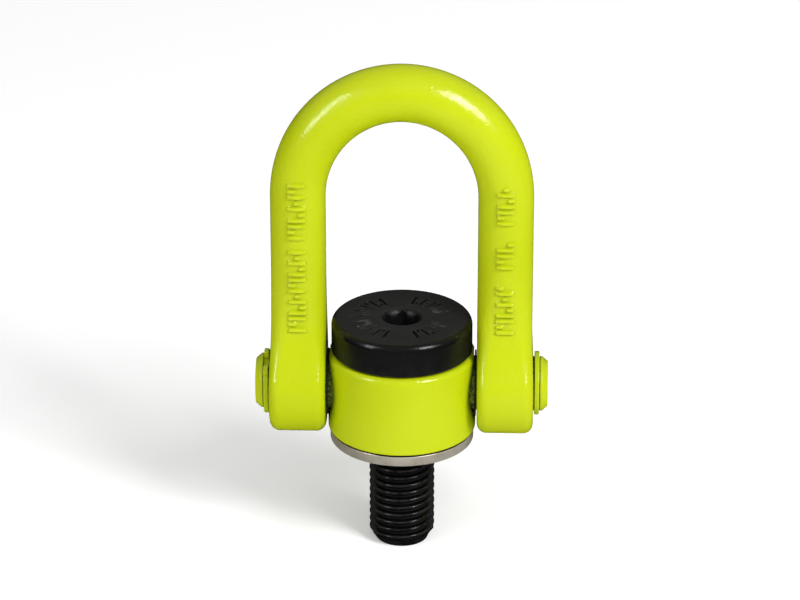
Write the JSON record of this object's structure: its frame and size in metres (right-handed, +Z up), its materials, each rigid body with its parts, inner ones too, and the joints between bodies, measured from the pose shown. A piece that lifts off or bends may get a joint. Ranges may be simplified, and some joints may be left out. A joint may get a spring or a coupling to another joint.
{
  "type": "swivel hoist ring",
  "caption": "Swivel hoist ring: U-shaped bail on two pins in a turning drum, with a round socket-head bolt and threaded shank.",
  "frame": {"origin": "centre of the flange's seat face, where the bolt's thread leaves it", "axes": "+Z up along the bolt towards its head, +X along the two bail pins"},
  "size_m": [0.1054, 0.0534, 0.1851],
  "materials": {
    "lime_paint": "gloss",
    "black_oxide": "satin black",
    "plated_steel": "satin plated",
    "dark_steel": "dark satin"
  },
  "bodies": {
    "bushing_base": {"flanged_bushing": "plated_steel"},
    "bolt_set": {"bolt": "black_oxide", "captive_ring": "dark_steel"},
    "swivel_set": {"swivel_body": "lime_paint", "left_spacer_washer": "dark_steel", "right_spacer_washer": "dark_steel"},
    "bail_ring": {"bail": "lime_paint"},
    "left_pin_set": {"left_pin": "lime_paint", "left_circlip": "lime_paint"},
    "right_pin_set": {"right_pin": "lime_paint", "right_circlip": "lime_paint"}
  },
  "joints": [
    {"name": "bolt_turn", "type": "hinge", "parent": "bushing_base", "child": "bolt_set", "pos_m": [0, 0, 0], "axis": [0, 0, 1], "continuous": true},
    {"name": "swivel", "type": "hinge", "parent": "bushing_base", "child": "swivel_set", "pos_m": [0, 0, 0.0194], "axis": [0, 0, 1], "continuous": true},
    {"name": "bail_pivot", "type": "hinge", "parent": "swivel_set", "child": "bail_ring", "pos_m": [0, 0, 0.0213], "axis": [1, 0, 0], "range_deg": [-95, 95]},
    {"name": "left_pin_turn", "type": "hinge", "parent": "swivel_set", "child": "left_pin_set", "pos_m": [-0.035, 0, 0.0213], "axis": [1, 0, 0], "continuous": true},
    {"name": "right_pin_turn", "type": "hinge", "parent": "swivel_set", "child": "right_pin_set", "pos_m": [0.035, 0, 0.0213], "axis": [1, 0, 0], "continuous": true}
  ]
}
